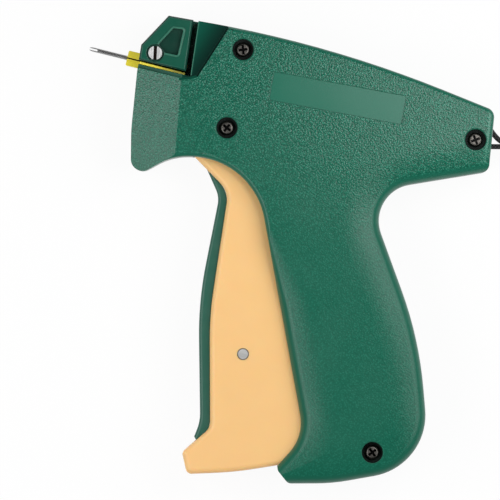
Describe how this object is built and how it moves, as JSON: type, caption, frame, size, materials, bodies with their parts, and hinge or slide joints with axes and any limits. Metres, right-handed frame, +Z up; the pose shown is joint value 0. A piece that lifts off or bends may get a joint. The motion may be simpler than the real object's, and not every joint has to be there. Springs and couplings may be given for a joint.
{
  "type": "fabric tagging tool",
  "caption": "Pistol-shaped hand tool with a squeeze trigger that drives plastic fasteners through fabric by a hollow slotted needle; clip slot in the nose, cord loop at the back.",
  "frame": {"origin": "centre of the tool's outline on the right side that it lies on, with the cord left out", "axes": "+X from the needle to the back of the head, +Y to the top of the tool, +Z up to the left side"},
  "size_m": [0.1925, 0.1622, 0.027],
  "materials": {
    "green_grain": "fine grain",
    "green_smooth": "satin",
    "tan_plastic": "satin",
    "yellow_plastic": "gloss",
    "black_steel": "oxide black",
    "bright_steel": "satin",
    "spring_steel": "satin",
    "chrome": "polished",
    "black_nylon": "satin",
    "white_nylon": "satin",
    "black_cord": "braided"
  },
  "bodies": {
    "housing": {"left_housing": "green_grain", "right_housing": "green_grain", "housing_screws": "black_steel", "nose_block": "green_smooth", "nose_screws": "black_steel", "needle_tube": "bright_steel", "needle_base": "yellow_plastic", "needle_knife": "bright_steel", "trigger_bush": "white_nylon", "lever_bracket": "bright_steel", "lever_pin": "bright_steel", "feed_axle": "bright_steel", "check_leaf": "spring_steel", "return_spring": "spring_steel", "lanyard_cord": "black_cord"},
    "trigger": {"trigger": "tan_plastic", "trigger_strip": "green_smooth", "trigger_pin": "bright_steel"},
    "lever": {"drive_lever": "black_nylon"},
    "slider": {"slider": "black_nylon", "slider_pin": "bright_steel", "ejector_rod": "bright_steel", "feed_finger": "spring_steel"},
    "lock": {"needle_lock": "chrome"},
    "wheel": {"feed_wheel": "white_nylon"}
  },
  "joints": [
    {"name": "trigger_squeeze", "type": "hinge", "parent": "housing", "child": "trigger", "pos_m": [-0.02011, 0.04456, 0.0135], "axis": [0, 0, 1], "range_deg": [0, 12.5], "stiffness_Nm_per_rad": 2, "springref_deg": -14.32},
    {"name": "lever_swing", "type": "hinge", "parent": "housing", "child": "lever", "pos_m": [0.01746, -0.00361, 0.0135], "axis": [0, 0, 1], "range_deg": [0, 32.4]},
    {"name": "slider_travel", "type": "slide", "parent": "housing", "child": "slider", "axis": [-1, 0, 0], "range_m": [0, 0.03736], "deforming": ["return_spring"]},
    {"name": "needle_lock_turn", "type": "hinge", "parent": "housing", "child": "lock", "pos_m": [-0.05205, 0.0647, 0.0135], "axis": [0, 0, 1], "range_deg": [0, 180]},
    {"name": "feed_wheel_spin", "type": "hinge", "parent": "housing", "child": "wheel", "pos_m": [-0.03173, 0.0507, 0.0135], "axis": [0, 0, 1], "continuous": true}
  ],
  "couplings": [
    {"joint": "lever_swing", "follows": "trigger_squeeze", "ratio": 2.5908},
    {"joint": "slider_travel", "follows": "trigger_squeeze", "m_per_rad": 0.17119}
  ]
}
